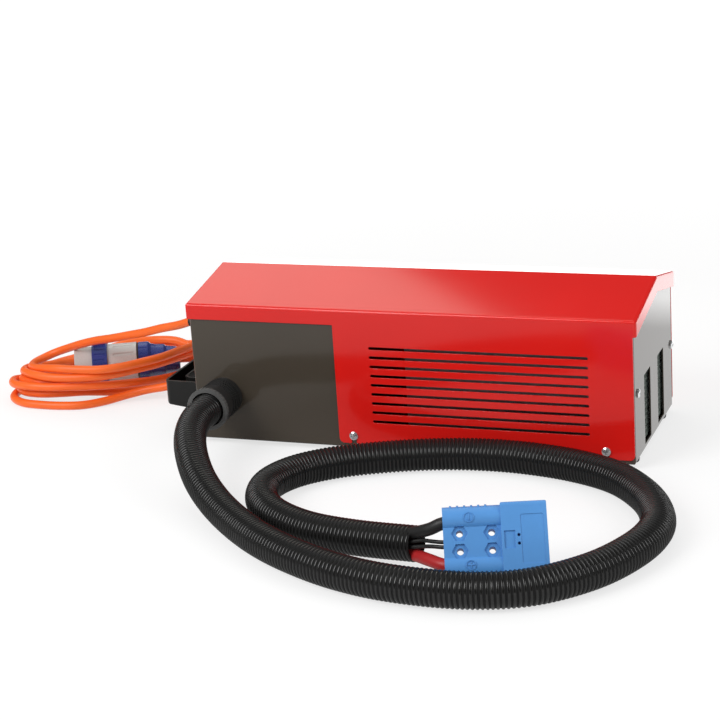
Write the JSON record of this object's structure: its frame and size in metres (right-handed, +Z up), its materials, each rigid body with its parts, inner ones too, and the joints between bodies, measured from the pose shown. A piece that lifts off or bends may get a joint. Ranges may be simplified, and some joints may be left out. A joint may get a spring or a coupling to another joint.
{
  "type": "ride-on mower battery charger",
  "caption": "Portable battery charger in a folded steel box with a bow handle, a corrugated output hose to a two-pole connector, and a coiled mains lead with a round plug.",
  "frame": {"origin": "on the floor, within 3 mm of under the middle of the enclosure with its handle", "axes": "+X along the box towards its ventilated end, +Z up, the slotted front wall and the hose on the -Y side"},
  "size_m": [0.92, 0.7328, 0.188],
  "materials": {
    "charcoal_paint": "semi-gloss powder coat",
    "red_paint": "gloss powder coat",
    "zinc_screws": "bright zinc plate",
    "foot_rubber": "matt",
    "handle_plastic": "fine moulded texture",
    "guard_mesh": "satin",
    "galvanised_sheet": "zinc coated",
    "fan_plastic": "satin",
    "sink_aluminium": "as extruded",
    "brass": "bright",
    "contact_silver": "silver plate",
    "cream_plastic": "satin",
    "gland_nylon": "satin",
    "hose_plastic": "corrugated, satin",
    "black_jacket": "satin",
    "red_jacket": "satin",
    "connector_plastic": "moulded, satin",
    "orange_jacket": "smooth, satin",
    "plug_grey": "moulded",
    "plug_blue": "moulded"
  },
  "bodies": {
    "charger": {"chassis": "charcoal_paint", "cover": "red_paint", "cover_screws": "zinc_screws", "end_screws": "zinc_screws", "foot_screws": "zinc_screws", "handle_screws": "zinc_screws", "fan_screws": "zinc_screws", "module_screws": "zinc_screws", "stud_nuts": "zinc_screws", "feet": "foot_rubber", "plug_seal": "foot_rubber", "handle": "handle_plastic", "air_mesh": "guard_mesh", "fan_plate": "galvanised_sheet", "module_case": "galvanised_sheet", "module_ends": "galvanised_sheet", "fan_frame": "fan_plastic", "heat_sink": "sink_aluminium", "output_studs": "brass", "earth_stud": "brass", "plug_pins": "brass", "connector_contacts": "contact_silver", "mains_terminal_block": "cream_plastic", "hose_gland_body": "gland_nylon", "hose_gland_ring": "gland_nylon", "hose_gland_locknut": "gland_nylon", "mains_gland_body": "gland_nylon", "mains_gland_cap": "gland_nylon", "mains_gland_locknut": "gland_nylon", "output_hose": "hose_plastic", "black_lead": "black_jacket", "upper_pilot_wire": "black_jacket", "lower_pilot_wire": "black_jacket", "red_lead": "red_jacket", "connector_housing": "connector_plastic", "mains_cable": "orange_jacket", "mains_coil": "orange_jacket", "plug_shroud": "plug_grey", "plug_body": "plug_grey", "plug_ring": "plug_blue", "plug_tail": "plug_blue", "plug_core": "plug_blue"},
    "fan": {"fan_rotor": "fan_plastic"}
  },
  "joints": [
    {"name": "fan_spin", "type": "hinge", "parent": "charger", "child": "fan", "pos_m": [0.26, 0.001, 0.052], "axis": [1, 0, 0], "continuous": true}
  ]
}
